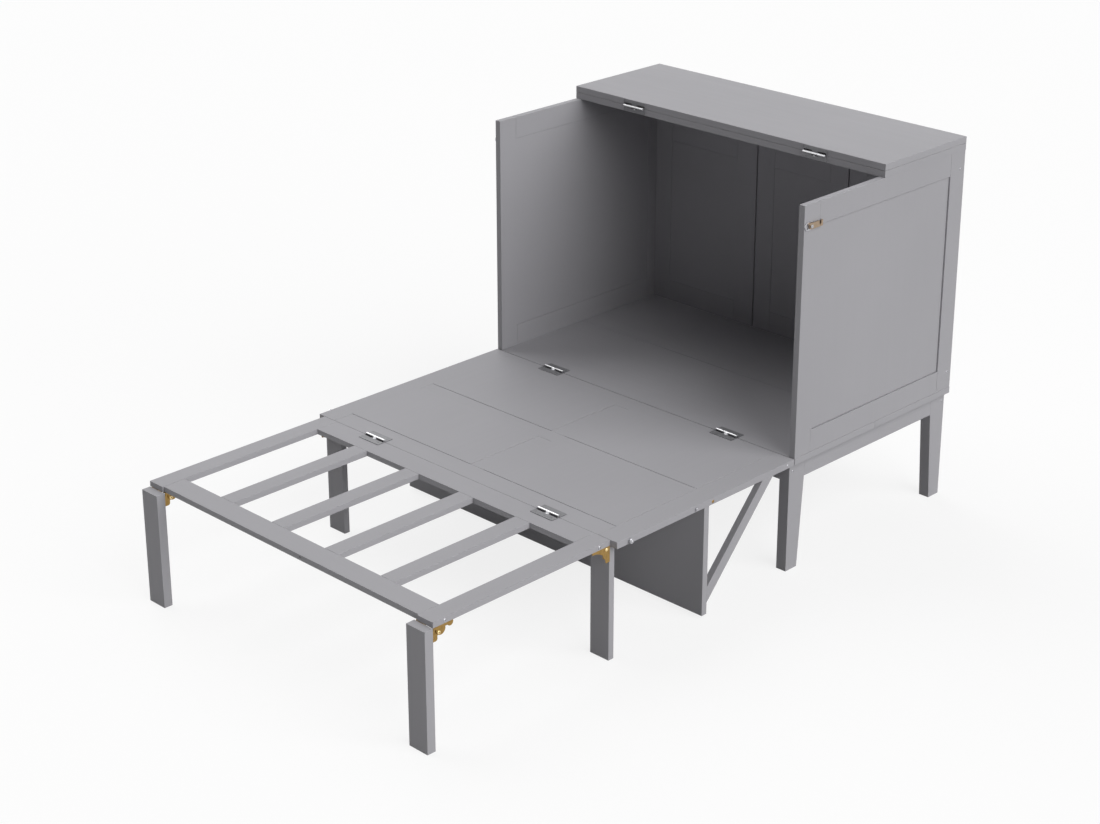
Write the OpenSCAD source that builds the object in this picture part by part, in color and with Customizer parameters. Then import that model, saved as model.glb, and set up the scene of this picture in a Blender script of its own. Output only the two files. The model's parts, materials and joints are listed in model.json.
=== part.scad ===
// A cabinet bed, opened out: a framed cabinet whose front panel folds down as the middle of the bed,
// with a slatted foot frame hinged to it on four folding legs. X is across the bed, -Y points to the
// foot, and Z is up. The origin is on the floor under the middle of the opened bed.

/* [Cabinet] */
// Outer width of the cabinet and of its fold-down front
cabinet_w = 1100; // [900:10:1300]
// Depth of the cabinet, front to back
cabinet_d = 680; // [640:5:760]
// Height of the deck's top above the floor
deck_h = 330; // [325:1:360]
// Height of the side panels above the deck
side_h = 684; // [660:2:700]
// Thickness of the boards and framed panels
board_t = 18; // [18:1:22]
// How far the side panels stand in from the deck's edge
side_setback = 1; // [0:0.5:1.5]
// Distance from the side panels' back edge to the back wall
back_inset = 10; // [2:1:20]

/* [Framed panels] */
// Width of the stiles and rails
stile_w = 62; // [50:1:80]
// Height of the back wall's top rails
back_rail_h = 180; // [80:5:220]
// How deep the panels lie below their frames, on each face
panel_recess = 4.5; // [2:0.5:5]
// Width of the rail and muntins in the middle of the folding front
mid_rail_w = 48; // [40:1:70]
// How far a panel's tongue reaches into its frame
tongue_l = 8; // [4:1:12]

/* [Lid] */
// Depth of each half of the folding lid
lid_d = 356; // [352:1:380]

/* [Cabinet legs] */
// Thickness of a leg, across the bed
leg_t = 32; // [26:1:45]
// Depth of a leg at the apron
leg_d = 62; // [55:1:80]
// Depth of a leg at the floor
leg_foot_d = 45; // [35:1:54]
// How far the legs and side aprons stand in from the deck's edge
leg_inset = 16; // [5:1:30]
// Height of the aprons
apron_h = 54; // [40:1:80]
// Thickness of the aprons
apron_t = 18; // [12:1:22]

/* [Folding front] */
// Space left between the closed front and the lid
top_gap = 13; // [11:1:24]
// Gap between the deck, the folding front and the foot frame
seam_gap = 2; // [1:0.5:3]
// Space left under the shelf panel when the bed is open
shelf_gap = 10; // [5:1:30]
// Length of a shelf brace's foot along the front, from the shelf panel
brace_reach = 248; // [200:2:300]
// Drop of a shelf brace along the shelf panel
brace_h = 270; // [200:2:280]
// Width of a shelf brace
brace_w = 30; // [20:1:40]

/* [Foot frame] */
// Length of the foot frame
foot_l = 572; // [540:2:620]
// Thickness of the foot frame
foot_t = 15; // [12:1:18]
// Gap between the foot frame and the cabinet's sides when it is folded in
foot_side_gap = 3; // [2.5:0.5:5]
// Width of the foot frame's side rails
foot_rail_w = 53; // [45:1:70]
// Width of the foot frame's end rails
end_rail_w = 64; // [50:1:80]
// How far the side rails run past the end rails
rail_proud = 4; // [1:0.5:8]
// Width of a slat
slat_w = 50; // [35:1:70]

/* [Folding legs] */
// Width of the folding legs
fold_leg_w = 62; // [50:1:70]
// Thickness of the legs at the foot
foot_leg_t = 25; // [18:1:30]
// Thickness of the legs in the middle of the bed
mid_leg_t = 18; // [15:1:22]
// Thickness of the bracket plates
bracket_t = 2.5; // [2:0.5:3]
// How far the foot legs' pivots lie below the frame
foot_pivot_drop = 18; // [17:1:19]
// How far the middle legs' pivots lie below the frame
mid_pivot_drop = 7; // [6.8:0.1:7.8]

/* [Hinges] */
// Length of a butt hinge on the bed surface
hinge_l = 76; // [60:1:100]
// Length of a lid hinge
lid_hinge_l = 80; // [60:1:110]
// Width of one leaf on the bed surface
leaf_w = 25; // [18:1:35]
// Thickness of a leaf
leaf_t = 1.8; // [1.2:0.1:2.2]
// Radius of a knuckle
knuckle_r = 3.5; // [3:0.1:4]
// Radius of a hinge pin
pin_r = 1.6; // [1:0.1:2]

/* [Side latches] */
// Length of a latch lever from its pivot
lever_l = 45; // [42:1:55]
// Width of a latch lever
lever_w = 16; // [14:1:20]
// Thickness of a latch lever
lever_t = 4; // [3:0.5:5]

/* [Hidden] */
$fn = 48;

// Clearances
joint_gap = 0.4;    // between the stiles and rails of one frame
groove_gap = 0.3;   // round a tongue in its groove
close_gap = 0.3;    // between pieces that move past each other
layer_gap = 0.5;    // between the two halves of the folded lid
pin_gap = 0.05;     // round a pin in its bore
knuckle_gap = 0.5;  // between neighbouring knuckles
overrun = 1;        // of every cut past the faces that it opens

// Places that several pieces share
half_w = cabinet_w / 2;
front_y = seam_gap / 2;
back_y = front_y + cabinet_d;
deck_under = deck_h - board_t;
side_top = deck_h + side_h;
side_out = half_w - side_setback;
side_in = side_out - board_t;
panel_t = board_t - 2 * panel_recess;
tongue_t = panel_t / 2;

// The hinge pins lie just above the bed surface
pin_rise = knuckle_r + close_gap;
pin_z = deck_h + pin_rise;
platform_l = side_top - top_gap - pin_z + seam_gap / 2;
foot_seam_y = -platform_l;
platform_far = foot_seam_y + seam_gap / 2;

// The folding lid
lid_front = back_y - lid_d;
lid_pin_y = lid_front - pin_rise;
lid_pin_z = side_top + board_t + layer_gap;
lid_leaf_w = board_t - layer_gap - seam_gap / 2;

// The shelf panel under the middle rail of the folding front
shelf_y = -platform_l / 2;
brace_angle = atan(brace_h / brace_reach);

// The foot frame, narrow enough to fold in between the cabinet's sides
foot_half_w = side_in - foot_side_gap;
foot_near = foot_seam_y - seam_gap / 2;
foot_far = foot_near - foot_l;
foot_under = deck_h - foot_t;
foot_inner = foot_half_w - foot_rail_w;
slat_count = 4;
slat_gap = (2 * foot_inner - slat_count * slat_w) / (slat_count + 1);

// The folding legs' pivots: each lies this far from the near face of its leg
foot_pivot_in = 20;
mid_pivot_in = 12;
foot_leg_y = foot_far - close_gap;
foot_pivot_y = foot_leg_y + foot_pivot_in;
foot_pivot_z = foot_under - foot_pivot_drop;
mid_leg_y = foot_seam_y + close_gap;
mid_pivot_y = mid_leg_y - mid_pivot_in;
mid_pivot_z = foot_under - mid_pivot_drop;
rivet_r = 3;
rivet_head_r = 5;
rivet_head_t = 1.5;

// A foot leg's bracket has its cheeks within the leg's width, and a middle leg's gusset lies outside its leg
cheek_inset = 2.5;
gusset_inset = 0.5;
foot_leg_x = foot_half_w - fold_leg_w / 2;
mid_leg_out = foot_half_w - gusset_inset - bracket_t - close_gap;

// The hinges' places across the bed
hinge_x = 320;
lid_hinge_x = 322;

// The side latches: a lever turns forward over a stud on the closed front
stud_from_end = 44;
stud_r = 2.5;
stud_head_r = 6.5;
stud_head_t = 2.5;
latch_pivot_y = 22;
latch_plate_t = 2.5;
latch_z = pin_z + platform_l - stud_from_end;
stud_reach = latch_pivot_y + pin_rise + board_t / 2;

// The middle of the opened bed, which the origin lies under
bed_end = foot_leg_y - foot_leg_t;
middle_y = (bed_end + back_y) / 2;

paint = [0.60, 0.61, 0.63];
brass = [0.74, 0.56, 0.24];
steel = [0.78, 0.79, 0.80];
dark_steel = [0.30, 0.30, 0.32];

// A box from one corner to the opposite one
module block(low, high) {
    translate(low) cube(high - low);
}

// Two copies, one on each side of the bed
module both_sides() {
    children();
    mirror([1, 0, 0]) children();
}

// Stands a flat outline of y and z up across the bed, from x = 0
module upright(thickness) {
    rotate([90, 0, 90]) linear_extrude(thickness) children();
}

// The panel of a frame, with its tongue, in a frame u wide and v high; grow widens the tongue
module panel_tongue(u, v, stile, low_rail, top_rail, grow) {
    reach = tongue_l + grow;
    translate([stile - reach, low_rail - reach, (board_t - tongue_t) / 2 - grow])
        cube([u - 2 * stile + 2 * reach, v - low_rail - top_rail + 2 * reach, tongue_t + 2 * grow]);
}

module framed_panel(u, v, stile, low_rail, top_rail) {
    translate([stile + groove_gap, low_rail + groove_gap, panel_recess])
        cube([u - 2 * (stile + groove_gap), v - low_rail - top_rail - 2 * groove_gap, panel_t]);
    panel_tongue(u, v, stile, low_rail, top_rail, 0);
}

// Two stiles and two rails, grooved for the panel that they hold
module panel_frame(u, v, stile, low_rail, top_rail) {
    rail_l = u - 2 * (stile + joint_gap);
    difference() {
        union() {
            cube([stile, v, board_t]);
            translate([u - stile, 0, 0]) cube([stile, v, board_t]);
            translate([stile + joint_gap, 0, 0]) cube([rail_l, low_rail, board_t]);
            translate([stile + joint_gap, v - top_rail, 0]) cube([rail_l, top_rail, board_t]);
        }
        panel_tongue(u, v, stile, low_rail, top_rail, groove_gap);
    }
}

// Cabinet deck, in two boards
deck_joint_y = (front_y + back_y) / 2;

module deck_front_board() {
    color(paint)
        difference() {
            block([-half_w, front_y, deck_under], [half_w, deck_joint_y - joint_gap, deck_h]);
            at_deck_hinges() hinge_pocket(hinge_l);
        }
}

module deck_rear_board() {
    color(paint)
        block([-half_w, deck_joint_y + joint_gap, deck_under], [half_w, back_y, deck_h]);
}

// Cabinet legs, tapered on the side that faces the next leg
module front_leg() {
    color(paint)
        translate([half_w - leg_inset - leg_t, front_y, 0])
            upright(leg_t)
                polygon([[0, 0], [leg_foot_d, 0], [leg_d, deck_under - apron_h], [leg_d, deck_under],
                         [0, deck_under]]);
}

module rear_leg() {
    translate([0, front_y + back_y, 0]) mirror([0, 1, 0]) front_leg();
}

module front_left_leg() { mirror([1, 0, 0]) front_leg(); }
module front_right_leg() { front_leg(); }
module rear_left_leg() { mirror([1, 0, 0]) rear_leg(); }
module rear_right_leg() { rear_leg(); }

// Aprons between the legs
apron_z = deck_under - apron_h;
apron_half = half_w - leg_inset - leg_t;

module front_apron() {
    color(paint)
        block([-apron_half, front_y, apron_z], [apron_half, front_y + apron_t, deck_under]);
}

module rear_apron() {
    color(paint)
        block([-apron_half, back_y - apron_t, apron_z], [apron_half, back_y, deck_under]);
}

module right_apron() {
    outer = half_w - leg_inset;
    color(paint)
        block([outer - apron_t, front_y + leg_d, apron_z], [outer, back_y - leg_d, deck_under]);
}

module left_apron() { mirror([1, 0, 0]) right_apron(); }

// Framed side panels, standing on the deck
module right_side_frame() {
    color(paint)
        translate([side_in, front_y, deck_h])
            rotate([90, 0, 90]) panel_frame(cabinet_d, side_h, stile_w, stile_w, stile_w);
}

module right_side_panel() {
    color(paint)
        translate([side_in, front_y, deck_h])
            rotate([90, 0, 90]) framed_panel(cabinet_d, side_h, stile_w, stile_w, stile_w);
}

module left_side_frame() { mirror([1, 0, 0]) right_side_frame(); }
module left_side_panel() { mirror([1, 0, 0]) right_side_panel(); }

// Back wall, three framed panels between the sides
back_count = 3;
back_w = (2 * side_in - (back_count - 1) * joint_gap) / back_count;

module place_back(n) {
    translate([-side_in + n * (back_w + joint_gap), back_y - back_inset, deck_h])
        rotate([90, 0, 0]) children();
}

module back_frame(n) {
    color(paint) place_back(n) panel_frame(back_w, side_h, stile_w, stile_w, back_rail_h);
}

module back_left_frame() { back_frame(0); }
module back_centre_frame() { back_frame(1); }
module back_right_frame() { back_frame(2); }

module back_panels() {
    color(paint)
        for (n = [0 : back_count - 1])
            place_back(n) framed_panel(back_w, side_h, stile_w, stile_w, back_rail_h);
}

// Lid: the rear half is fixed, and the front half lies folded back on it
module rear_lid() {
    color(paint)
        difference() {
            block([-half_w, lid_front, side_top], [half_w, back_y, side_top + board_t]);
            at_lid_hinges() hinge_pocket(lid_hinge_l);
        }
}

module front_lid() {
    color(paint)
        difference() {
            block([-half_w, lid_front, lid_pin_z], [half_w, back_y, lid_pin_z + board_t]);
            at_lid_hinges() hinge_pocket(lid_hinge_l);
        }
}

// Butt hinges. The pin's axis is X at the origin, and the surface lies pin_rise below it
barrel_share = 0.92;
centre_share = 0.27;
leaf_round = 2;
window_half = 7;  // from the pin to the far side of a knuckle's window and of the pocket under the barrel
pocket_drop = 8;

function barrel_l(l) = l * barrel_share;
function centre_l(l) = barrel_l(l) * centre_share;
function end_l(l) = (barrel_l(l) - centre_l(l)) / 2 - knuckle_gap;

module along_x(r, l) {
    rotate([0, 90, 0]) cylinder(r = r, h = l, center = true);
}

module leaf(l, w) {
    translate([0, seam_gap / 2, -pin_rise])
        linear_extrude(leaf_t) {
            translate([-l / 2, 0]) square([l, w - leaf_round]);
            translate([leaf_round - l / 2, 0]) square([l - 2 * leaf_round, w]);
            for (side = [-1, 1])
                translate([side * (l / 2 - leaf_round), w - leaf_round]) circle(r = leaf_round);
        }
}

// The space that the other leaf's knuckle turns in
module knuckle_room(l) {
    translate([-l / 2, -window_half, -pin_rise - overrun])
        cube([l, 2 * window_half, pin_rise + window_half]);
}

// The pocket in the boards' edges under a hinge's barrel
module hinge_pocket(l) {
    pocket_l = barrel_l(l) + 2 * knuckle_gap;
    translate([-pocket_l / 2, -window_half, -pin_rise - pocket_drop])
        cube([pocket_l, 2 * window_half, pocket_drop + overrun]);
}

// One leaf with its two end knuckles and the pin
module pin_leaf(l, w) {
    end_x = (barrel_l(l) - end_l(l)) / 2;
    difference() {
        leaf(l, w);
        knuckle_room(centre_l(l) + 2 * knuckle_gap);
    }
    for (side = [-1, 1])
        translate([side * end_x, 0, 0]) along_x(knuckle_r, end_l(l));
    along_x(pin_r, barrel_l(l));
}

// The other leaf, with the knuckle in the middle
module sleeve_leaf(l, w) {
    end_x = (barrel_l(l) - end_l(l)) / 2;
    difference() {
        union() {
            difference() {
                mirror([0, 1, 0]) leaf(l, w);
                for (side = [-1, 1])
                    translate([side * end_x, 0, 0]) knuckle_room(end_l(l) + 2 * knuckle_gap);
            }
            along_x(knuckle_r, centre_l(l));
        }
        along_x(pin_r + pin_gap, barrel_l(l));
    }
}

module at_deck_hinges() {
    for (side = [-1, 1])
        translate([side * hinge_x, 0, pin_z]) children();
}

module at_foot_hinges() {
    for (side = [-1, 1])
        translate([side * hinge_x, foot_seam_y, pin_z]) children();
}

module at_lid_hinges() {
    for (side = [-1, 1])
        translate([side * lid_hinge_x, lid_pin_y, lid_pin_z]) rotate([90, 0, 0]) rotate([0, 0, 180]) children();
}

module lid_hinge_pin_leaves() { color(dark_steel) at_lid_hinges() pin_leaf(lid_hinge_l, lid_leaf_w); }
module lid_hinge_sleeve_leaves() { color(dark_steel) at_lid_hinges() sleeve_leaf(lid_hinge_l, lid_leaf_w); }
module deck_hinge_pin_leaves() { color(dark_steel) at_deck_hinges() pin_leaf(hinge_l, leaf_w); }
module deck_hinge_sleeve_leaves() { color(dark_steel) at_deck_hinges() sleeve_leaf(hinge_l, leaf_w); }
module foot_hinge_pin_leaves() { color(dark_steel) at_foot_hinges() pin_leaf(hinge_l, leaf_w); }
module foot_hinge_sleeve_leaves() { color(dark_steel) at_foot_hinges() sleeve_leaf(hinge_l, leaf_w); }

// Folding front: two stiles, three rails and two muntins round four panels
platform_near = -front_y;
platform_d = platform_near - platform_far;
field_w = (cabinet_w - 2 * stile_w - mid_rail_w) / 2;
field_d = (platform_d - 2 * stile_w - mid_rail_w) / 2;

// A panel's place: 0 or 1 across, and 0 or 1 from the foot end
function field_x(i) = -half_w + stile_w + i * (field_w + mid_rail_w);
function field_y(j) = platform_far + stile_w + j * (field_d + mid_rail_w);

module field_tongue(i, j, grow) {
    reach = tongue_l + grow;
    translate([field_x(i) - reach, field_y(j) - reach, deck_under + (board_t - tongue_t) / 2 - grow])
        cube([field_w + 2 * reach, field_d + 2 * reach, tongue_t + 2 * grow]);
}

module platform_field(i, j) {
    color(paint) {
        translate([field_x(i) + groove_gap, field_y(j) + groove_gap, deck_under + panel_recess])
            cube([field_w - 2 * groove_gap, field_d - 2 * groove_gap, panel_t]);
        field_tongue(i, j, 0);
    }
}

module platform_panel_rear_left() { platform_field(0, 1); }
module platform_panel_rear_right() { platform_field(1, 1); }
module platform_panel_front_left() { platform_field(0, 0); }
module platform_panel_front_right() { platform_field(1, 0); }

module field_grooves() {
    for (i = [0, 1], j = [0, 1])
        field_tongue(i, j, groove_gap);
}

module platform_stiles() {
    color(paint)
        difference() {
            both_sides()
                block([half_w - stile_w, platform_far, deck_under], [half_w, platform_near, deck_h]);
            field_grooves();
        }
}

module platform_rails() {
    rail_half = half_w - stile_w - joint_gap;
    color(paint)
        difference() {
            union() {
                for (j = [0, 1, 2]) {
                    low = [platform_far, field_y(0) + field_d, platform_near - stile_w][j];
                    width = [stile_w, mid_rail_w, stile_w][j];
                    block([-rail_half, low, deck_under], [rail_half, low + width, deck_h]);
                }
                for (j = [0, 1])
                    block([-mid_rail_w / 2, field_y(j) + joint_gap, deck_under],
                          [mid_rail_w / 2, field_y(j) + field_d - joint_gap, deck_h]);
            }
            field_grooves();
            at_deck_hinges() hinge_pocket(hinge_l);
            at_foot_hinges() hinge_pocket(hinge_l);
        }
}

// Shelf under the folding front: it sticks out of the cabinet's front when the bed is closed
module shelf_panel() {
    color(paint)
        block([-half_w, shelf_y - board_t, shelf_gap], [half_w, shelf_y, deck_under]);
}

module right_brace() {
    across = brace_w / sin(brace_angle);
    down = brace_w / cos(brace_angle);
    color(paint)
        translate([half_w - board_t, shelf_y, deck_under])
            upright(board_t)
                polygon([[0, -brace_h], [0, down - brace_h], [brace_reach - across, 0], [brace_reach, 0]]);
}

module left_brace() { mirror([1, 0, 0]) right_brace(); }

// Round heads. A button stands on a side face at x, with its neck under its head
module button(neck_r, neck_l, head_r, head_t) {
    rotate([0, 90, 0]) {
        cylinder(r = neck_r, h = neck_l + head_t);
        translate([0, 0, neck_l]) cylinder(r = head_r, h = head_t);
    }
}

// A rounded head on a side face: a thin rim with a cone on it, which rise head_t together
rim_share = 0.4;
crown_share = 0.6;

module rounded_head(head_r, head_t) {
    rim_t = head_t * rim_share;
    rotate([0, 90, 0]) {
        cylinder(r = head_r, h = rim_t);
        translate([0, 0, rim_t]) cylinder(r1 = head_r, r2 = head_r * crown_share, h = head_t - rim_t);
    }
}

lever_x = side_out + latch_plate_t + close_gap;
stud_neck_l = lever_x + lever_t + close_gap - half_w;
stop_stud_off = 32;
stop_stud_y = shelf_y - board_t - stop_stud_off;
stop_stud_r = 4;
stop_stud_l = 5;
edge_screw_y = 29;
edge_screw_r = 3.5;
edge_screw_t = 1.5;
stud_collar_r = 4.5;
stud_collar_t = 1;
stud_cap_r = 2.5;
stud_cap_t = 1.5;

// A collar, a neck for the lever's notch, a head and a small cap
module latch_stud() {
    button(stud_collar_r, 0, stud_collar_r, stud_collar_t);
    button(stud_r, stud_neck_l, stud_head_r, stud_head_t);
    translate([stud_neck_l + stud_head_t, 0, 0]) rounded_head(stud_cap_r, stud_cap_t);
}

// Latch studs near the foot seam, plain studs by the shelf and small screws by the cabinet
module platform_studs() {
    mid_z = deck_h - board_t / 2;
    color(steel)
        both_sides() {
            translate([half_w, foot_seam_y + stud_from_end, mid_z]) latch_stud();
            translate([half_w, stop_stud_y, mid_z]) button(stop_stud_r, 0, stop_stud_r, stop_stud_l);
            translate([half_w, -edge_screw_y, mid_z]) rounded_head(edge_screw_r, edge_screw_t);
        }
}

shelf_screw_in = 14;
shelf_screw_r = 4;

module shelf_screws() {
    color(brass)
        both_sides()
            translate([half_w, shelf_y + shelf_screw_in, deck_under + board_t / 2 - edge_screw_t])
                rounded_head(shelf_screw_r, edge_screw_t);
}

// Screws that hold the back wall and the legs
back_screw_drop = 50;
leg_screw_drop = 25;
leg_screw_in = 13;

module cabinet_screws() {
    leg_face = half_w - leg_inset;
    color(steel)
        both_sides() {
            for (z = [deck_h + back_screw_drop, side_top - back_screw_drop])
                translate([side_out, back_y - back_inset - board_t / 2, z])
                    rounded_head(edge_screw_r, edge_screw_t);
            for (y = [front_y + leg_screw_in, back_y - leg_screw_in])
                translate([leg_face, y, deck_under - leg_screw_drop])
                    rounded_head(edge_screw_r, edge_screw_t);
        }
}

// Side latches. The plate carries the lever's pivot
latch_plate_r = 12;
latch_plate_back = 8.5;
latch_pivot_r = 3;
latch_head_r = 5;
latch_head_t = 2;
latch_slot_w = 4;
latch_slot_h = 14;
latch_slot_in = 11;
lever_clear = 1.1;

module latch_outline() {
    translate([latch_pivot_y - latch_plate_back, 0]) circle(r = latch_plate_r);
    translate([latch_pivot_y, 0]) circle(r = latch_plate_r);
    translate([latch_pivot_y - latch_plate_back, -latch_plate_r])
        square([latch_plate_back, 2 * latch_plate_r]);
}

module right_latch_plate() {
    color(steel)
        translate([side_out, 0, latch_z]) {
            upright(latch_plate_t)
                difference() {
                    latch_outline();
                    translate([latch_pivot_y - latch_slot_in - latch_slot_w / 2, -latch_slot_h / 2])
                        square([latch_slot_w, latch_slot_h]);
                }
            translate([0, latch_pivot_y, 0])
                button(latch_pivot_r, lever_x + lever_t + close_gap - side_out, latch_head_r, latch_head_t);
        }
}

module left_latch_plate() { mirror([1, 0, 0]) right_latch_plate(); }

// The lever points backwards when open; its notch takes the stud when it is turned forward
module right_latch_lever() {
    notch = stud_r + lever_clear;
    color(brass)
        translate([lever_x, latch_pivot_y, latch_z])
            difference() {
                upright(lever_t)
                    difference() {
                        union() {
                            circle(r = lever_w / 2);
                            translate([0, -lever_w / 2]) square([lever_l, lever_w]);
                        }
                        translate([stud_reach, 0]) circle(r = notch);
                        translate([stud_reach - notch, 0]) square([2 * notch, lever_w]);
                    }
                translate([lever_t / 2, 0, 0]) along_x(latch_pivot_r + pin_gap, lever_t + 2 * overrun);
            }
}

module left_latch_lever() { mirror([1, 0, 0]) right_latch_lever(); }

// Foot frame: two side rails, two end rails and lengthwise slats
rail_near = foot_near - rail_proud;
rail_far = foot_far + rail_proud;

module foot_frame_right_rail() {
    color(paint) block([foot_inner, foot_far, foot_under], [foot_half_w, foot_near, deck_h]);
}

module foot_frame_left_rail() { mirror([1, 0, 0]) foot_frame_right_rail(); }

catch_hole_r = 3;
catch_hole_x = 60;

module foot_frame_foot_rail() {
    rail_half = foot_inner - joint_gap;
    color(paint)
        difference() {
            block([-rail_half, rail_far, foot_under], [rail_half, rail_far + end_rail_w, deck_h]);
            translate([catch_hole_x, rail_far - overrun, foot_under + foot_t / 2])
                rotate([-90, 0, 0]) cylinder(r = catch_hole_r, h = end_rail_w / 2);
        }
}

module foot_frame_head_rail() {
    rail_half = foot_inner - joint_gap;
    color(paint)
        difference() {
            block([-rail_half, rail_near - end_rail_w, foot_under], [rail_half, rail_near, deck_h]);
            at_foot_hinges() hinge_pocket(hinge_l);
        }
}

module slats() {
    low_y = rail_far + end_rail_w + joint_gap;
    high_y = rail_near - end_rail_w - joint_gap;
    color(paint)
        for (n = [1 : slat_count]) {
            x = -foot_inner + n * slat_gap + (n - 1) * slat_w;
            block([x, low_y, foot_under], [x + slat_w, high_y, deck_h]);
        }
}

// Bolt heads in the side rails' outer faces, low enough to pass the cabinet's sides
bolt_in = 36;
bolt_head_r = 5;
bolt_head_t = 2;

module foot_frame_bolts() {
    color(steel)
        both_sides()
            for (y = [foot_far + bolt_in, foot_near - bolt_in])
                translate([foot_half_w, y, foot_under + foot_t / 2])
                    rounded_head(bolt_head_r, bolt_head_t);
}

// Folding legs
module foot_right_leg() {
    color(paint)
        block([foot_half_w - fold_leg_w, foot_leg_y - foot_leg_t, 0],
              [foot_half_w, foot_leg_y, foot_under - close_gap]);
}

module middle_right_leg() {
    color(paint)
        block([mid_leg_out - fold_leg_w, mid_leg_y, 0],
              [mid_leg_out, mid_leg_y + mid_leg_t, deck_under - close_gap]);
}

module foot_left_leg() { mirror([1, 0, 0]) foot_right_leg(); }
module middle_left_leg() { mirror([1, 0, 0]) middle_right_leg(); }

// Leg brackets. Flat outlines have the pivot at their origin, with the frame above and the leg behind

// The cheek of an arm: a boss on the rivet and a strap down the leg's face, which lies reach behind the pivot
module arm_outline(reach, strap_w, low, high, boss_r, round_r) {
    circle(r = boss_r);
    translate([-reach, low + round_r]) square([strap_w, high - low - round_r]);
    translate([-reach, low]) square([strap_w - round_r, high - low]);
    translate([strap_w - reach - round_r, low + round_r]) circle(r = round_r);
}

// A rivet from a fixed cheek's outer face at x = 0 inwards through the arm's cheek
module rivet(neck_r, head_r) {
    rounded_head(head_r, rivet_head_t);
    mirror([1, 0, 0]) button(neck_r, 2 * (bracket_t + close_gap), head_r, rivet_head_t);
}

// The fixed bracket of a foot leg: a channel whose two cheeks each have two lobes and a hollow rivet
bracket_half = fold_leg_w / 2 - cheek_inset;
rivet_bore_r = 1.6;
foot_cheek_off = 3;
foot_lobe_u = 6;
foot_lobe_v = 6;
foot_lobe_r = 14;
foot_end_u = 35;
foot_end_v = 13;
foot_end_r = 9;
foot_web_h = 9;

module foot_cheek_outline() {
    near_u = foot_cheek_off - foot_pivot_in;
    difference() {
        union() {
            translate([foot_lobe_u, foot_lobe_v]) circle(r = foot_lobe_r);
            translate([foot_end_u, foot_end_v]) circle(r = foot_end_r);
            translate([near_u, foot_pivot_drop - foot_web_h]) square([foot_end_u - near_u, foot_web_h]);
        }
        translate([near_u, foot_pivot_drop])
            square([foot_end_u + foot_end_r - near_u, foot_lobe_r]);
    }
}

module foot_bracket() {
    difference() {
        union() {
            both_sides() {
                translate([bracket_half - bracket_t, 0, 0]) upright(bracket_t) foot_cheek_outline();
                translate([bracket_half, 0, 0]) rivet(rivet_r, rivet_head_r);
            }
            block([-bracket_half, foot_cheek_off - foot_pivot_in, foot_pivot_drop - bracket_t],
                  [bracket_half, foot_end_u, foot_pivot_drop]);
        }
        along_x(rivet_bore_r, fold_leg_w);
    }
}

module foot_leg_brackets() {
    color(brass)
        both_sides()
            translate([foot_leg_x, foot_pivot_y, foot_pivot_z]) foot_bracket();
}

// The arm of a foot leg: a second channel, between the fixed cheeks
arm_half = bracket_half - bracket_t - close_gap;
foot_arm_l = 21;
foot_arm_w = 18;
foot_arm_r = 8;
foot_arm_round = 6;

module foot_arm() {
    difference() {
        union() {
            both_sides()
                translate([arm_half - bracket_t, 0, 0])
                    upright(bracket_t)
                        arm_outline(foot_pivot_in, foot_arm_w, -foot_arm_l, foot_arm_r, foot_arm_r,
                                    foot_arm_round);
            block([-arm_half, -foot_pivot_in, -foot_arm_l],
                  [arm_half, bracket_t - foot_pivot_in, foot_arm_r]);
        }
        along_x(rivet_r + pin_gap, fold_leg_w);
    }
}

module foot_right_leg_arm() {
    color(brass) translate([foot_leg_x, foot_pivot_y, foot_pivot_z]) foot_arm();
}

// The fixed bracket of a middle leg: a curved gusset on its outer side, with a tab under the rail
gusset_off = 1;
gusset_l = 60;
gusset_h = 43;
gusset_foot_w = 13;
gusset_end_h = 6;
mid_rivet_r = 2.5;
mid_rivet_head_r = 4.5;
mid_tab_w = 20;
mid_tab_u = 8;
mid_arm_l = 36;
mid_arm_r = 6.5;
mid_arm_round = 3;

module gusset_outline() {
    near_u = gusset_off - mid_pivot_in;
    far_u = near_u + gusset_l;
    low = mid_pivot_drop - gusset_h;
    curve = [
        for (turn = [90 : -15 : 0])
            [far_u - (gusset_l - gusset_foot_w) * cos(turn), low + (gusset_h - gusset_end_h) * sin(turn)]
    ];
    polygon(concat([[near_u, low], [near_u, mid_pivot_drop], [far_u, mid_pivot_drop]], curve));
}

module middle_leg_brackets() {
    color(brass)
        both_sides()
            translate([foot_half_w - gusset_inset, mid_pivot_y, mid_pivot_z])
                mirror([0, 1, 0]) {
                    translate([-bracket_t, 0, 0]) upright(bracket_t) gusset_outline();
                    block([-mid_tab_w, mid_tab_u, mid_pivot_drop - bracket_t],
                          [0, gusset_off - mid_pivot_in + gusset_l, mid_pivot_drop]);
                    rivet(mid_rivet_r, mid_rivet_head_r);
                }
}

// The arm of a middle leg: one cheek just inside the gusset, with a flange on the leg's face
module middle_right_leg_arm() {
    color(brass)
        translate([mid_leg_out, mid_pivot_y, mid_pivot_z])
            mirror([0, 1, 0])
                difference() {
                    union() {
                        translate([-bracket_t, 0, 0])
                            upright(bracket_t)
                                arm_outline(mid_pivot_in, mid_pivot_in, -mid_arm_l, 0, mid_arm_r,
                                            mid_arm_round);
                        block([-mid_tab_w, -mid_pivot_in, -mid_arm_l], [0, bracket_t - mid_pivot_in, 0]);
                    }
                    along_x(mid_rivet_r + pin_gap, mid_tab_w);
                }
}

module foot_left_leg_arm() { mirror([1, 0, 0]) foot_right_leg_arm(); }
module middle_left_leg_arm() { mirror([1, 0, 0]) middle_right_leg_arm(); }

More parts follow.
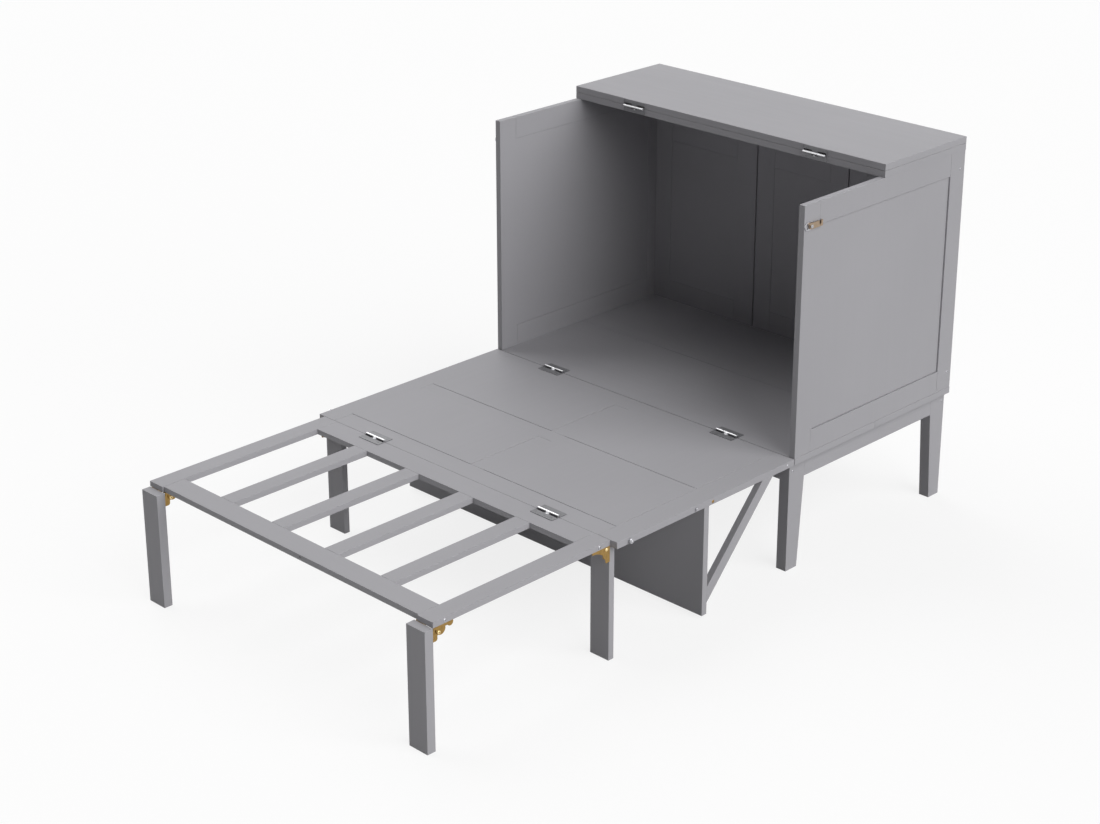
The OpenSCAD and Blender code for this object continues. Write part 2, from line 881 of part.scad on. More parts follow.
translate([0, -middle_y, 0]) {
    deck_front_board();
    deck_rear_board();
    front_apron();
    rear_apron();
    left_apron();
    right_apron();
    front_left_leg();
    front_right_leg();
    rear_left_leg();
    rear_right_leg();
    left_side_frame();
    left_side_panel();
    right_side_frame();
    right_side_panel();
    back_left_frame();
    back_centre_frame();
    back_right_frame();
    back_panels();
    rear_lid();
    front_lid();
    lid_hinge_pin_leaves();
    lid_hinge_sleeve_leaves();
    platform_stiles();
    platform_rails();
    platform_panel_rear_left();
    platform_panel_rear_right();
    platform_panel_front_left();
    platform_panel_front_right();
    deck_hinge_pin_leaves();
    deck_hinge_sleeve_leaves();
    shelf_panel();
    left_brace();
    right_brace();
    platform_studs();
    shelf_screws();
    cabinet_screws();
    left_latch_plate();
    right_latch_plate();
    left_latch_lever();
    right_latch_lever();
    foot_hinge_pin_leaves();
    foot_hinge_sleeve_leaves();
    foot_frame_left_rail();
    foot_frame_right_rail();
    foot_frame_foot_rail();
    foot_frame_head_rail();
    slats();
    foot_frame_bolts();
    foot_leg_brackets();
    middle_leg_brackets();
    foot_left_leg();
    foot_right_leg();
    middle_left_leg();
    middle_right_leg();
    foot_left_leg_arm();
    foot_right_leg_arm();
    middle_left_leg_arm();
    middle_right_leg_arm();
}
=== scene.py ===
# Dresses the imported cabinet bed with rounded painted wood, plated hinges, side latches and brass leg
# brackets, and sets up the camera and the light. Lengths are in metres, in the row frame.
import json
import math

import bmesh
import bpy
from mathutils import Matrix, Vector

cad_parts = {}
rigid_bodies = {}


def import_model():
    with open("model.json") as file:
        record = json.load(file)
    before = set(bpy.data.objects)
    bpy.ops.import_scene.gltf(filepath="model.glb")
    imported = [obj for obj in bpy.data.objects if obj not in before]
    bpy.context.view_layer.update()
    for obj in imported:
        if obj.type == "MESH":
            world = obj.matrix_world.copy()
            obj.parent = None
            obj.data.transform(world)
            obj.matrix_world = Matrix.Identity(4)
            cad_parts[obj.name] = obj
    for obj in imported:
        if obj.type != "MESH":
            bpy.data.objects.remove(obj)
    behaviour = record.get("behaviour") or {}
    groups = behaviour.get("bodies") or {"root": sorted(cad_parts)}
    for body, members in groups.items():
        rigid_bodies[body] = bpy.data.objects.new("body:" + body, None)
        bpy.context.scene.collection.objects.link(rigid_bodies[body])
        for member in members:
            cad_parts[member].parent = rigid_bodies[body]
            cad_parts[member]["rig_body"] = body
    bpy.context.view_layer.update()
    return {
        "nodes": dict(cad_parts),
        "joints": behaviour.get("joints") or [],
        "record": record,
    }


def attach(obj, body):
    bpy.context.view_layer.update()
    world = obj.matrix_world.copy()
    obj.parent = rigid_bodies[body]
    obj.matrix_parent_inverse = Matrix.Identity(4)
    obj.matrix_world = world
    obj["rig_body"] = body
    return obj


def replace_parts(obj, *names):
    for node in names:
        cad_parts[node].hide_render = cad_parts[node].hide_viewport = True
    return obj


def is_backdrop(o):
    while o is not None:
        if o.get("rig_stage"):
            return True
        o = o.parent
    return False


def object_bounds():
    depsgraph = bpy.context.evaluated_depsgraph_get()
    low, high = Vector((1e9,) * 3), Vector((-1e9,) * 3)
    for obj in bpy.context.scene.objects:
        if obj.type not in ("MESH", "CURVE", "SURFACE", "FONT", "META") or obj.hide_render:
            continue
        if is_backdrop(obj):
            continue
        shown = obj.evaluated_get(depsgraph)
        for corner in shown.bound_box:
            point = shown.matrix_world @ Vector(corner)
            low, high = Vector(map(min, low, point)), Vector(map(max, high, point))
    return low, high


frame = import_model()
nodes = frame["nodes"]
scene = bpy.context.scene
pivots = {joint["name"]: Vector(joint["pos_m"]) for joint in frame["joints"]}
slots = {part["node"]: part["material_slot"] for part in frame["record"]["subparts"]}

MM = 0.001
RIGHT = Vector((1, 0, 0))
BACK = Vector((0, 1, 0))
UP = Vector((0, 0, 1))
X, Y, Z = range(3)

# The two ends of an axis
LOW = -1
HIGH = 1

# Each pair of hinges has the fold that it turns on, and the way that its leaves face
HINGES = {"lid": ("lid_fold", -BACK), "deck": ("front_fold", UP), "foot": ("foot_frame_fold", UP)}
HINGE_X = 320.5 * MM
LEAF_T = 1.8 * MM
PIN_RISE = 3.8 * MM
LEAF_FLAT_START = 7 * MM
HINGE_SCREW_R = 3.2 * MM
HINGE_SCREW_H = 0.5 * MM
SCREW_FROM_END = 11 * MM


# Materials


def srgb(value):
    """One 8-bit display value as linear light"""
    share = value / 255
    return share / 12.92 if share <= 0.04045 else ((share + 0.055) / 1.055) ** 2.4


def colour(red, green, blue):
    return (srgb(red), srgb(green), srgb(blue))


def scaled(base, factor):
    return tuple(min(1.0, factor * channel) for channel in base)


# The colour sockets of a mix node
MIX_FIRST = 6
MIX_SECOND = 7
MIX_RESULT = 2

# The range that most of a noise falls in, and how far two normals agree on an edge, where paler paint and a
# painted highlight go, and on a flat
NOISE_LOW = 0.3
NOISE_HIGH = 0.7
EDGE_AGREES = 0.8
FLAT_AGREES = 0.99
EDGE_SAMPLES = 4


class Finish:
    """A material's node tree, with short ways to add and join nodes"""

    def __init__(self, name):
        self.material = bpy.data.materials.new(name)
        self.material.use_nodes = True
        self.tree = self.material.node_tree
        self.tree.nodes.clear()
        self.shader = self.add("ShaderNodeBsdfPrincipled")
        self.output = self.add("ShaderNodeOutputMaterial")
        self.link(self.shader.outputs[0], self.output.inputs["Surface"])

    def add(self, kind, **values):
        node = self.tree.nodes.new(kind)
        for name, value in values.items():
            if hasattr(node, name):
                setattr(node, name, value)
            else:
                node.inputs[name.replace("_", " ")].default_value = value
        return node

    def link(self, source, target):
        self.tree.links.new(source, target)

    def fill(self, socket, value):
        """Joins a socket to another one, or sets it to a number or a colour"""
        if isinstance(value, bpy.types.NodeSocket):
            self.link(value, socket)
        elif isinstance(value, tuple):
            socket.default_value = (*value, 1)
        else:
            socket.default_value = value

    def set(self, **values):
        for name, value in values.items():
            self.fill(self.shader.inputs[name.replace("_", " ")], value)

    def place(self):
        """Where a point lies in the piece's own coordinates, which are the row frame's at rest"""
        return self.add("ShaderNodeTexCoord").outputs["Object"]

    def noise(self, scale, detail, stretch=(1, 1, 1)):
        """Noise in the piece's own coordinates. A stretch below 1 draws it out along that axis"""
        mapping = self.add("ShaderNodeMapping")
        mapping.inputs["Scale"].default_value = stretch
        self.link(self.place(), mapping.inputs["Vector"])
        node = self.add("ShaderNodeTexNoise", Scale=scale, Detail=detail)
        self.link(mapping.outputs[0], node.inputs["Vector"])
        return node.outputs["Fac"]

    def spread(self, value, low, high, start=NOISE_LOW, end=NOISE_HIGH):
        """Maps a value from start..end to low..high"""
        node = self.add("ShaderNodeMapRange")
        for name, number in (("From Min", start), ("From Max", end), ("To Min", low), ("To Max", high)):
            node.inputs[name].default_value = number
        self.link(value, node.inputs["Value"])
        return node.outputs[0]

    def math(self, operation, first, second):
        node = self.add("ShaderNodeMath", operation=operation)
        self.fill(node.inputs[0], first)
        self.fill(node.inputs[1], second)
        return node.outputs[0]

    def mix(self, share, first, second):
        node = self.add("ShaderNodeMix", data_type="RGBA")
        self.fill(node.inputs["Factor"], share)
        self.fill(node.inputs[MIX_FIRST], first)
        self.fill(node.inputs[MIX_SECOND], second)
        return node.outputs[MIX_RESULT]

    def vector(self, operation, first, second=None):
        node = self.add("ShaderNodeVectorMath", operation=operation)
        self.link(first, node.inputs[0])
        if isinstance(second, bpy.types.NodeSocket):
            self.link(second, node.inputs[1])
        elif second is not None:
            node.inputs[1].default_value = second
        return node.outputs["Value" if operation in ("LENGTH", "DOT_PRODUCT") else "Vector"]

    def edges(self, radius):
        """0 on flats, rising to 1 on edges that turn within a radius"""
        turned = self.add("ShaderNodeBevel", samples=EDGE_SAMPLES, Radius=radius)
        geometry = self.add("ShaderNodeNewGeometry")
        flatness = self.vector("DOT_PRODUCT", turned.outputs[0], geometry.outputs["Normal"])
        return self.spread(flatness, 1, 0, EDGE_AGREES, FLAT_AGREES)

    def near(self, point, radius, along_x=False):
        """1 within a radius of a point and of its mirror image on the left, or of the line along X
        through it, and 0 beyond"""
        place = self.place()
        sideways = self.vector("MULTIPLY", self.vector("ABSOLUTE", place), (1, 0, 0))
        mirrored = self.vector("ADD", sideways, self.vector("MULTIPLY", place, (0, 1, 1)))
        offset = self.vector("SUBTRACT", mirrored, point)
        across = self.vector("MULTIPLY", offset, (0 if along_x else 1, 1, 1))
        return self.math("LESS_THAN", self.vector("LENGTH", across), radius)

    def bump(self, height, strength, depth):
        node = self.add("ShaderNodeBump", Strength=strength, Distance=depth)
        self.link(height, node.inputs["Height"])
        self.link(node.outputs[0], self.shader.inputs["Normal"])


# Paint: noise scales in waves per metre, then how much each noise changes the colour, gloss and relief
DRIFT_SCALE = 2.1
BRUSH_SCALE = 70
WEAR_AND_HIGHLIGHT_SCALE = 45
STIPPLE_SCALE = 520
BRUSH_STRETCH = 0.05
DRIFT_CHANGE = 0.025
BRUSH_DARKNESS = 0.86
BRUSH_SHARE = 0.04
BRUSH_IN_GLOSS = 0.3
BRUSH_IN_RELIEF = 0.5
STIPPLE_IN_RELIEF = 0.6
# The paler paint on the edges is partly wear and partly a painted highlight
WEAR_AND_HIGHLIGHT_PALENESS = 1.28
WEAR_AND_HIGHLIGHT_LOW = 0.1
WEAR_AND_HIGHLIGHT_HIGH = 0.55
WEAR_AND_HIGHLIGHT_RADIUS = 1.2 * MM
PAINT_SMOOTHEST = 0.44
PAINT_ROUGHEST = 0.58
PAINT_SPECULAR = 0.12
PAINT_BUMP = 0.06
PAINT_DEPTH = 0.3 * MM


def painted_wood(name, base, grain):
    """Smooth satin paint: a slow drift in tone, faint brush lines along the grain, a fine stipple
    and paler paint on the edges, partly worn paint and partly a painted highlight"""
    paint = Finish(name)
    stretch = tuple(BRUSH_STRETCH if axis == grain else 1 for axis in (X, Y, Z))
    drift = paint.spread(paint.noise(DRIFT_SCALE, detail=3), 0, 1)
    lines = paint.spread(paint.noise(BRUSH_SCALE, detail=3, stretch=stretch), 0, 1)
    stipple = paint.noise(STIPPLE_SCALE, detail=2)
    tone = paint.mix(drift, scaled(base, 1 - DRIFT_CHANGE), scaled(base, 1 + DRIFT_CHANGE))
    brushed = paint.mix(paint.math("MULTIPLY", lines, BRUSH_SHARE), tone, scaled(base, BRUSH_DARKNESS))
    # Paler paint on the edges: partly worn paint, partly a painted highlight where the edges catch the light
    wear_and_highlight = paint.spread(paint.noise(WEAR_AND_HIGHLIGHT_SCALE, detail=4), WEAR_AND_HIGHLIGHT_LOW, WEAR_AND_HIGHLIGHT_HIGH)
    worn_and_highlit_edges = paint.math("MULTIPLY", paint.edges(WEAR_AND_HIGHLIGHT_RADIUS), wear_and_highlight)
    gloss = paint.math("ADD", stipple, paint.math("MULTIPLY", lines, BRUSH_IN_GLOSS))
    relief = paint.math("ADD", paint.math("MULTIPLY", stipple, STIPPLE_IN_RELIEF),
                        paint.math("MULTIPLY", lines, BRUSH_IN_RELIEF))
    paint.set(Base_Color=paint.mix(worn_and_highlit_edges, brushed, scaled(base, WEAR_AND_HIGHLIGHT_PALENESS)),
              Roughness=paint.spread(gloss, PAINT_SMOOTHEST, PAINT_ROUGHEST, NOISE_LOW, 1),
              Specular_IOR_Level=PAINT_SPECULAR)
    paint.bump(relief, PAINT_BUMP, PAINT_DEPTH)
    return paint.material


# Metal, in the same way
PLATING_SCALE = 140
SCRATCH_SCALE = 1100
SCRATCH_STRETCH = 0.12
BRIGHT_SPOTS = 0.9
# The metal's brighter edges are a painted highlight
METAL_EDGE_HIGHLIGHT_PALENESS = 1.5
METAL_EDGE_HIGHLIGHT_SHARE = 0.45
METAL_EDGE_HIGHLIGHT_RADIUS = 0.5 * MM
METAL_SMOOTHER = 0.08
METAL_ROUGHER = 0.10
RELIEF_LOW = 0.2
RELIEF_HIGH = 1.8
METAL_BUMP = 0.10
METAL_DEPTH = 0.1 * MM


def metal(name, base, rough, spots, shine=1, bright=None, marks=()):
    """Plated sheet metal: cloudy plating, fine scratches and a painted highlight on the edges. The marks are
    barrels, straps and rivet heads, each within reach of a point or of the line along X through it. They
    have a bright colour and a full shine, and on the rivet heads the bright colour is a painted highlight"""
    plate = Finish(name)
    cloud = plate.spread(plate.noise(PLATING_SCALE, detail=4), 0, 1)
    scratch = plate.spread(plate.noise(SCRATCH_SCALE, detail=2, stretch=(SCRATCH_STRETCH, 1, 1)), 0, 1)
    tone = plate.mix(cloud, base, scaled(base, spots))
    plate.set(Metallic=shine)
    if marks:
        share, *others = [plate.near(*mark) for mark in marks]
        for other in others:
            share = plate.math("MAXIMUM", share, other)
        tone = plate.mix(share, tone, plate.mix(cloud, bright, scaled(bright, BRIGHT_SPOTS)))
        if shine < 1:
            plate.set(Metallic=plate.spread(share, shine, 1, 0, 1))
    # A painted highlight on the metal's edges
    edge = plate.math("MULTIPLY", plate.edges(METAL_EDGE_HIGHLIGHT_RADIUS), METAL_EDGE_HIGHLIGHT_SHARE)
    relief = plate.math("ADD", scratch, cloud)
    roughness = plate.spread(relief, rough - METAL_SMOOTHER, rough + METAL_ROUGHER, RELIEF_LOW, RELIEF_HIGH)
    plate.set(Base_Color=plate.mix(edge, tone, scaled(base, METAL_EDGE_HIGHLIGHT_PALENESS)), Roughness=roughness)
    plate.bump(scratch, METAL_BUMP, METAL_DEPTH)
    return plate.material


# The colours, and where the bright ones lie on the hinges and brackets. The bright colour on the rivet heads
# is a painted highlight
GREY = colour(165, 164, 168)
STEEL = colour(178, 178, 182)
BRASS = colour(168, 136, 80)
# A painted highlight on the brass rivet heads
RIVET_HIGHLIGHT = colour(240, 214, 160)
COPPER = colour(166, 146, 124)
LEAF = colour(128, 128, 131)
BARREL = colour(222, 222, 224)
RIVET_HIGHLIGHT_REACH = 4.6 * MM
LEAF_SHINE = 0.3
BARREL_CROWN = 1.6 * MM
BARREL_REACH = 2.6 * MM
STRAP_OUT = 3.5 * MM
STRAP_REACH = 5.5 * MM

paints = [painted_wood("paint along " + letter, GREY, axis) for axis, letter in enumerate("XYZ")]
# Where the painted highlight on the rivet heads goes
rivet_highlights = [(pivots[fold], RIVET_HIGHLIGHT_REACH, True) for fold in ("foot_right_leg_fold", "middle_right_leg_fold")]
metals = {
    "nickel": metal("nickel", STEEL, rough=0.26, spots=0.9),
    "brass": metal("brass", BRASS, rough=0.34, spots=0.72, bright=RIVET_HIGHLIGHT, marks=rivet_highlights),
    "copper lever": metal("copper lever", COPPER, rough=0.36, spots=0.85),
}
for hinge, (fold, normal) in HINGES.items():
    crown = pivots[fold] + normal * BARREL_CROWN
    strap = pivots[fold] + RIGHT * HINGE_X + RIGHT.cross(normal) * STRAP_OUT
    metals[hinge] = metal(hinge + " hinge", LEAF, rough=0.42, spots=0.9, shine=LEAF_SHINE, bright=BARREL,
                          marks=[(crown, BARREL_REACH, True), (strap, STRAP_REACH)])

GRAIN_X = (
    "deck_front_board deck_rear_board front_apron rear_apron rear_lid front_lid platform_rails"
    " foot_frame_foot_rail foot_frame_head_rail shelf_panel"
).split()
GRAIN_Y = (
    "left_apron right_apron platform_stiles platform_panel_rear_left platform_panel_rear_right"
    " platform_panel_front_left platform_panel_front_right foot_frame_left_rail foot_frame_right_rail slats"
).split()


def finish_of(name):
    """The finish of a CAD node, from its name, its material slot and its grain"""
    owner = name.split("_hinge")[0]
    if owner in HINGES:
        return metals[owner]
    if "lever" in name:
        return metals["copper lever"]
    if slots[name] == "bright_steel":
        return metals["nickel"]
    if slots[name] == "yellow_brass":
        return metals["brass"]
    return paints[X if name in GRAIN_X else Y if name in GRAIN_Y else Z]


# Rounded pieces, each standing for a CAD node

WELD = 0.001 * MM
SAME_PLANE = math.radians(0.5)
TOUCH = 0.1 * MM
WOOD_ROUND = 0.7 * MM
SHEET_ROUND = 0.35 * MM
ROUND_SEGMENTS = 2
ROUND_FROM = math.radians(33)
FULL_WEIGHT = 100

# Faces that the photograph shows further out than the solids have them, each at one end of its node
PANEL_RISE = 5.5 * MM
SIDE_PANEL_FILL = 3.5 * MM
SEAM_FILL = 0.6 * MM
HEAD_RAIL_SETBACK = 4 * MM
BACK_PANEL_FILL = 3.8 * MM
FACE_MOVES = (
    ("platform_panel", Z, HIGH, PANEL_RISE),
    ("left_side_panel", X, HIGH, SIDE_PANEL_FILL),
    ("right_side_panel", X, LOW, SIDE_PANEL_FILL),
    ("platform_rails", Y, LOW, SEAM_FILL),
    ("platform_stiles", Y, LOW, SEAM_FILL),
    ("foot_frame_left_rail", Y, HIGH, SEAM_FILL),
    ("foot_frame_right_rail", Y, HIGH, SEAM_FILL),
    ("foot_frame_head_rail", Y, HIGH, SEAM_FILL + HEAD_RAIL_SETBACK),
    ("back_panels", Y, LOW, BACK_PANEL_FILL),
)

# The joints between the back wall's frames, and how far the corners left of one, at it and right of it
# move along X to stand on the photograph's lines
BACK_JOINT = 177.1 * MM
BACK_MOVES = {
    -BACK_JOINT: (26 * MM, 38 * MM, 40 * MM),
    BACK_JOINT: (11 * MM, 13 * MM, 15 * MM),
}
BACK_GROOVE_HALF = 2.2 * MM
JOINT_REACH = 3 * MM
STILE_REACH = 70 * MM


def clean_shape(name):
    """A CAD node's mesh with its faces joined up and its flat faces whole"""
    shape = bmesh.new()
    shape.from_mesh(nodes[name].data)
    bmesh.ops.remove_doubles(shape, verts=shape.verts, dist=WELD)
    bmesh.ops.dissolve_limit(shape, angle_limit=SAME_PLANE, verts=shape.verts, edges=shape.edges)
    return shape


def add_piece(name, shape, body, material):
    """Makes an object of a bmesh, which rides on a body"""
    mesh = bpy.data.meshes.new(name)
    shape.to_mesh(mesh)
    shape.free()
    mesh.shade_smooth()
    mesh.materials.append(material)
    piece = bpy.data.objects.new(name, mesh)
    scene.collection.objects.link(piece)
    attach(piece, body)
    return piece


def round_edges(piece, width):
    """Rounds the sharp edges of a piece, and keeps its large faces flat in the light"""
    bevel = piece.modifiers.new("rounded edges", "BEVEL")
    bevel.width = width
    bevel.segments = ROUND_SEGMENTS
    bevel.limit_method = "ANGLE"
    bevel.angle_limit = ROUND_FROM
    bevel.use_clamp_overlap = False
    flatten = piece.modifiers.new("flat faces", "WEIGHTED_NORMAL")
    flatten.mode = "FACE_AREA"
    flatten.weight = FULL_WEIGHT


def push_face(shape, axis, end, way):
    """Moves the face at the low or the high end of a shape outward along an axis"""
    outermost = max(end * vertex.co[axis] for vertex in shape.verts)
    for vertex in shape.verts:
        if outermost - end * vertex.co[axis] < TOUCH:
            vertex.co[axis] += end * way


def fit_back_wall(shape):
    """Opens a V groove at each joint of the back wall's frames, and moves the joints and stiles"""
    near_face = min(vertex.co.y for vertex in shape.verts) + TOUCH
    for vertex in shape.verts:
        start = vertex.co.x
        for joint, (left, middle, right) in BACK_MOVES.items():
            offset = start - joint
            if abs(offset) < JOINT_REACH:
                groove = math.copysign(BACK_GROOVE_HALF, offset) if vertex.co.y < near_face else 0
                vertex.co.x += middle + groove
            elif abs(offset) < STILE_REACH:
                vertex.co.x += left if offset < 0 else right


def rounded(name, width):
    """A copy of a CAD node, fitted to the photograph, with rounded edges"""
    shape = clean_shape(name)
    for start, axis, end, way in FACE_MOVES:
        if name.startswith(start):
            push_face(shape, axis, end, way)
    if name.startswith("back_"):
        fit_back_wall(shape)
    piece = add_piece(name + "-rounded", shape, nodes[name]["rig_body"], finish_of(name))
    round_edges(piece, width)
    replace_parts(piece, name)


# Nodes that are made anew as turned heads, each with its recess
TURNED = {"cabinet_screws": "cross", "shelf_screws": "cross", "foot_frame_bolts": "socket"}

for name in nodes:
    if name not in TURNED:
        rounded(name, WOOD_ROUND if slots[name] == "grey_paint" else SHEET_ROUND)


# Screw and bolt heads

# A unit head has a radius and a height of 1, so its rim and its recess are shares of those
LATHE_STEPS = 32
ARC_STEPS = 7
UNIT_WELD = 1e-5
CROSS_RIM_SHARE = 0.25
CROSS_WIDTH_SHARE = 0.14
CROSS_REACH_SHARE = 0.58
CROSS_FLOOR_SHARE = 0.45
SOCKET_RIM_SHARE = 0.3
SOCKET_REACH_SHARE = 0.5
SOCKET_FLOOR_SHARE = 0.35
CUTTER_TOP_SHARE = 1.5
SHARP_FROM = math.radians(35)


def lathe(profile):
    """Turns a profile of radius and height round Z"""
    shape = bmesh.new()
    points = [shape.verts.new((radius, 0, height)) for radius, height in profile]
    edges = [shape.edges.new(pair) for pair in zip(points, points[1:])]
    bmesh.ops.spin(shape, geom=points + edges, axis=UP, cent=(0, 0, 0), angle=2 * math.pi, steps=LATHE_STEPS,
                   use_merge=True)
    bmesh.ops.remove_doubles(shape, verts=shape.verts, dist=UNIT_WELD)
    bmesh.ops.recalc_face_normals(shape, faces=shape.faces)
    return shape


def prism(outline, low, high):
    """A straight body on an outline, between two heights"""
    shape = bmesh.new()
    face = shape.faces.new([shape.verts.new((x, y, low)) for x, y in outline])
    top = bmesh.ops.extrude_face_region(shape, geom=[face])
    bmesh.ops.translate(shape, verts=[v for v in top["geom"] if isinstance(v, bmesh.types.BMVert)],
                        vec=(0, 0, high - low))
    bmesh.ops.recalc_face_normals(shape, faces=shape.faces)
    return shape


def carved(name, solid, cutter):
    """The mesh of one shape with another cut out of it"""
    made = []
    for part, shape in (("solid", solid), ("cutter", cutter)):
        mesh = bpy.data.meshes.new(name + part)
        shape.to_mesh(mesh)
        shape.free()
        made.append(bpy.data.objects.new(name + part, mesh))
        scene.collection.objects.link(made[-1])
    cut = made[0].modifiers.new("recess", "BOOLEAN")
    cut.operation = "DIFFERENCE"
    cut.object = made[1]
    bpy.context.view_layer.update()
    depsgraph = bpy.context.evaluated_depsgraph_get()
    result = bpy.data.meshes.new_from_object(made[0].evaluated_get(depsgraph))
    for item in made:
        bpy.data.objects.remove(item)
    return result


def dome_profile(rim):
    """A closed unit head: a rim and then a quarter of an ellipse"""
    turns = [math.pi / 2 * step / ARC_STEPS for step in range(ARC_STEPS + 1)]
    arc = [(math.cos(turn), rim + (1 - rim) * math.sin(turn)) for turn in turns]
    return [(0, 0), (1, 0), *arc[:-1], (0, 1)]


def cross(width, reach):
    """The twelve corners of a cross recess"""
    quarter = [(reach, -width), (reach, width), (width, width)]
    return [
        (x * math.cos(turn) - y * math.sin(turn), x * math.sin(turn) + y * math.cos(turn))
        for turn in (0, math.pi / 2, math.pi, 3 * math.pi / 2)
        for x, y in quarter
    ]


def hexagon(reach):
    return [(reach * math.cos(turn), reach * math.sin(turn)) for turn in (math.pi / 3 * n for n in range(6))]


heads = {
    "cross": carved("cross", lathe(dome_profile(CROSS_RIM_SHARE)),
                    prism(cross(CROSS_WIDTH_SHARE, CROSS_REACH_SHARE), CROSS_FLOOR_SHARE, CUTTER_TOP_SHARE)),
    "socket": carved("socket", lathe(dome_profile(SOCKET_RIM_SHARE)),
                     prism(hexagon(SOCKET_REACH_SHARE), SOCKET_FLOOR_SHARE, CUTTER_TOP_SHARE)),
}


def set_heads(name, head, places, like):
    """One piece of all the heads, which goes with a CAD node. Each place is a head's seat, its axis,
    its radius and its height"""
    shape = bmesh.new()
    for seat, axis, radius, height in places:
        first = len(shape.verts)
        shape.from_mesh(head)
        shape.verts.ensure_lookup_table()
        turn = axis.to_track_quat("Z", "Y").to_matrix().to_4x4()
        size = Matrix.Diagonal((radius, radius, height, 1))
        bmesh.ops.transform(shape, matrix=Matrix.Translation(seat) @ turn @ size, verts=shape.verts[first:])
    piece = add_piece(name, shape, nodes[like]["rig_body"], finish_of(like))
    piece.data.set_sharp_from_angle(angle=SHARP_FROM)
    return piece


def solids(name):
    """The low and high corner of each separate solid in a CAD node"""
    shape = clean_shape(name)
    left = set(shape.verts)
    boxes = []
    while left:
        reached = [left.pop()]
        corners = []
        while reached:
            vertex = reached.pop()
            corners.append(vertex.co.copy())
            for edge in vertex.link_edges:
                other = edge.other_vert(vertex)
                if other in left:
                    left.remove(other)
                    reached.append(other)
        boxes.append([Vector(pick(corner[axis] for corner in corners) for axis in (X, Y, Z))
                      for pick in (min, max)])
    shape.free()
    return boxes


for name, kind in TURNED.items():
    places = []
    for low, high in solids(name):
        centre = (low + high) / 2
        side = math.copysign(1, centre.x)
        seat = Vector((low.x if side > 0 else high.x, centre.y, centre.z))
        places.append((seat, side * RIGHT, (high.z - low.z) / 2, high.x - low.x))
    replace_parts(set_heads(name + "-turned", heads[kind], places, name), name)

# Two countersunk screws in each hinge leaf
for hinge, (fold, normal) in HINGES.items():
    pin = pivots[fold]
    across = RIGHT.cross(normal)
    for part in ("pin", "sleeve"):
        name = f"{hinge}_hinge_{part}_leaves"
        places = []
        for low, high in solids(name):
            outer = max(((end - pin).dot(across) for end in (low, high)), key=abs)
            middle = (math.copysign(LEAF_FLAT_START, outer) + outer) / 2
            for x in (low.x + SCREW_FROM_END, high.x - SCREW_FROM_END):
                seat = Vector((x, pin.y, pin.z)) + across * middle + normal * (LEAF_T - PIN_RISE)
                places.append((seat, normal, HINGE_SCREW_R, HINGE_SCREW_H))
        set_heads(name + "-screws", heads["cross"], places, name)


# Floor, light and camera

# Levels of light, at which 1 is white
SKY = 0.03
WHITE = 1.0

# The floor, as the bed meets it and as the eye sees it
FLOOR_HALF = 30.0
FLOOR_BOUNCE = 0.52
FLOOR_ROUGHNESS = 0.9
PAPER = 0.97
PAPER_GLOW_SHARE = 0.82

# The lamps' spread, azimuths and elevations in degrees, and their levels
LAMP_SPREAD = 60
LAMPS = {
    "right lamp": (2, 32, 0.83),
    "left lamp": (178, 46, 0.54),
    "rear lamp": (100, 25, 0.12),
}

# The camera, fitted to the photograph's frame
FRAME_W = 1100
FRAME_H = 824
FOCAL_PX = 2241.13
CENTRE_ROW = 340
SENSOR_W = 36.0
CAMERA_PLACE = (3.80268, -3.88135, 2.73046)
CAMERA_YAW = math.radians(44.755)
CAMERA_PITCH = math.radians(21.494)
CAMERA_ROLL = math.radians(-0.105)


def show_white(tree):
    """A value that is 1 for rays from the camera and for those that metal and glass pass on"""
    rays = tree.nodes.new("ShaderNodeLightPath")
    seen = rays.outputs["Is Camera Ray"]
    for name in ("Is Glossy Ray", "Is Transmission Ray"):
        either = tree.nodes.new("ShaderNodeMath")
        either.operation = "MAXIMUM"
        tree.links.new(seen, either.inputs[0])
        tree.links.new(rays.outputs[name], either.inputs[1])
        seen = either.outputs[0]
    return seen


def mixed(tree, share, first, second):
    """Two shaders mixed, by a number or by a value in the tree"""
    node = tree.nodes.new("ShaderNodeMixShader")
    if isinstance(share, float):
        node.inputs[0].default_value = share
    else:
        tree.links.new(share, node.inputs[0])
    tree.links.new(first, node.inputs[1])
    tree.links.new(second, node.inputs[2])
    return node.outputs[0]


def glow(tree, kind, strength):
    """A white emission or background shader"""
    node = tree.nodes.new(kind)
    node.inputs["Color"].default_value = (1, 1, 1, 1)
    node.inputs["Strength"].default_value = strength
    return node.outputs[0]


def dress_sky():
    """A faint even light, which the eye sees as white"""
    world = bpy.data.worlds.new("studio")
    scene.world = world
    world.use_nodes = True
    tree = world.node_tree
    tree.nodes.clear()
    out = tree.nodes.new("ShaderNodeOutputWorld")
    light = glow(tree, "ShaderNodeBackground", SKY)
    white = glow(tree, "ShaderNodeBackground", WHITE)
    tree.links.new(mixed(tree, show_white(tree), light, white), out.inputs["Surface"])


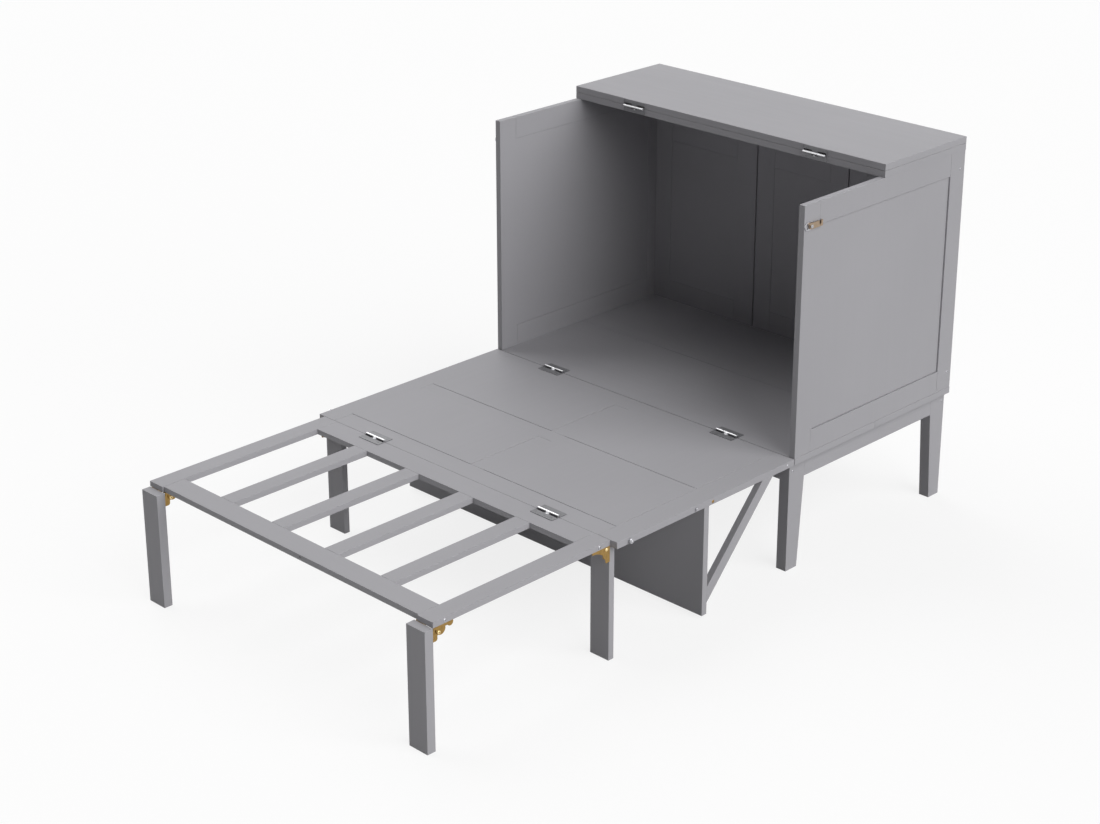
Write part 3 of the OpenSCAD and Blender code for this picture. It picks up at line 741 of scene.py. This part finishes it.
def lay_floor():
    """A floor that sends pale light up to the bed. The eye sees it white, with a soft shadow"""
    shape = bmesh.new()
    bmesh.ops.create_grid(shape, x_segments=1, y_segments=1, size=FLOOR_HALF)
    mesh = bpy.data.meshes.new("floor")
    shape.to_mesh(mesh)
    shape.free()
    floor = bpy.data.objects.new("floor", mesh)
    scene.collection.objects.link(floor)
    floor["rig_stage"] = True

    finish = Finish("pale floor")
    finish.set(Base_Color=(FLOOR_BOUNCE, FLOOR_BOUNCE, FLOOR_BOUNCE), Roughness=FLOOR_ROUGHNESS,
               Specular_IOR_Level=0.0)
    paper = finish.add("ShaderNodeBsdfDiffuse", Color=(PAPER, PAPER, PAPER, 1))
    white = glow(finish.tree, "ShaderNodeEmission", WHITE)
    seen = mixed(finish.tree, PAPER_GLOW_SHARE, paper.outputs[0], white)
    look = mixed(finish.tree, show_white(finish.tree), finish.shader.outputs[0], seen)
    finish.link(look, finish.output.inputs["Surface"])
    mesh.materials.append(finish.material)


def soft_lamp(name, azimuth, elevation, level):
    """A far, broad lamp. Level 1 shows a facing surface in its written colour"""
    data = bpy.data.lights.new(name, "SUN")
    data.energy = math.pi * level
    data.angle = math.radians(LAMP_SPREAD)
    lamp = bpy.data.objects.new(name, data)
    azimuth = math.radians(azimuth)
    elevation = math.radians(elevation)
    towards = Vector((math.cos(elevation) * math.cos(azimuth), math.cos(elevation) * math.sin(azimuth),
                      math.sin(elevation)))
    lamp.rotation_euler = towards.to_track_quat("Z", "Y").to_euler()
    scene.collection.objects.link(lamp)


def place_camera():
    """The photograph's camera, with its vertical shift"""
    data = bpy.data.cameras.new("camera")
    data.sensor_width = SENSOR_W
    data.lens = FOCAL_PX * SENSOR_W / FRAME_W
    data.shift_y = (CENTRE_ROW - FRAME_H / 2) / FRAME_W
    camera = bpy.data.objects.new("camera", data)
    camera.location = CAMERA_PLACE
    ahead = Vector((-math.sin(CAMERA_YAW), math.cos(CAMERA_YAW), 0))
    forward = ahead * math.cos(CAMERA_PITCH) - UP * math.sin(CAMERA_PITCH)
    level_right = ahead.cross(UP)
    level_up = level_right.cross(forward)
    right = level_right * math.cos(CAMERA_ROLL) + level_up * math.sin(CAMERA_ROLL)
    camera.rotation_mode = "QUATERNION"
    camera.rotation_quaternion = Matrix((right, right.cross(forward), -forward)).transposed().to_quaternion()
    scene.collection.objects.link(camera)
    scene.camera = camera


dress_sky()
lay_floor()
for name, (azimuth, elevation, level) in LAMPS.items():
    soft_lamp(name, azimuth, elevation, level)
place_camera()
scene.view_settings.view_transform = "Standard"

low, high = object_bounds()
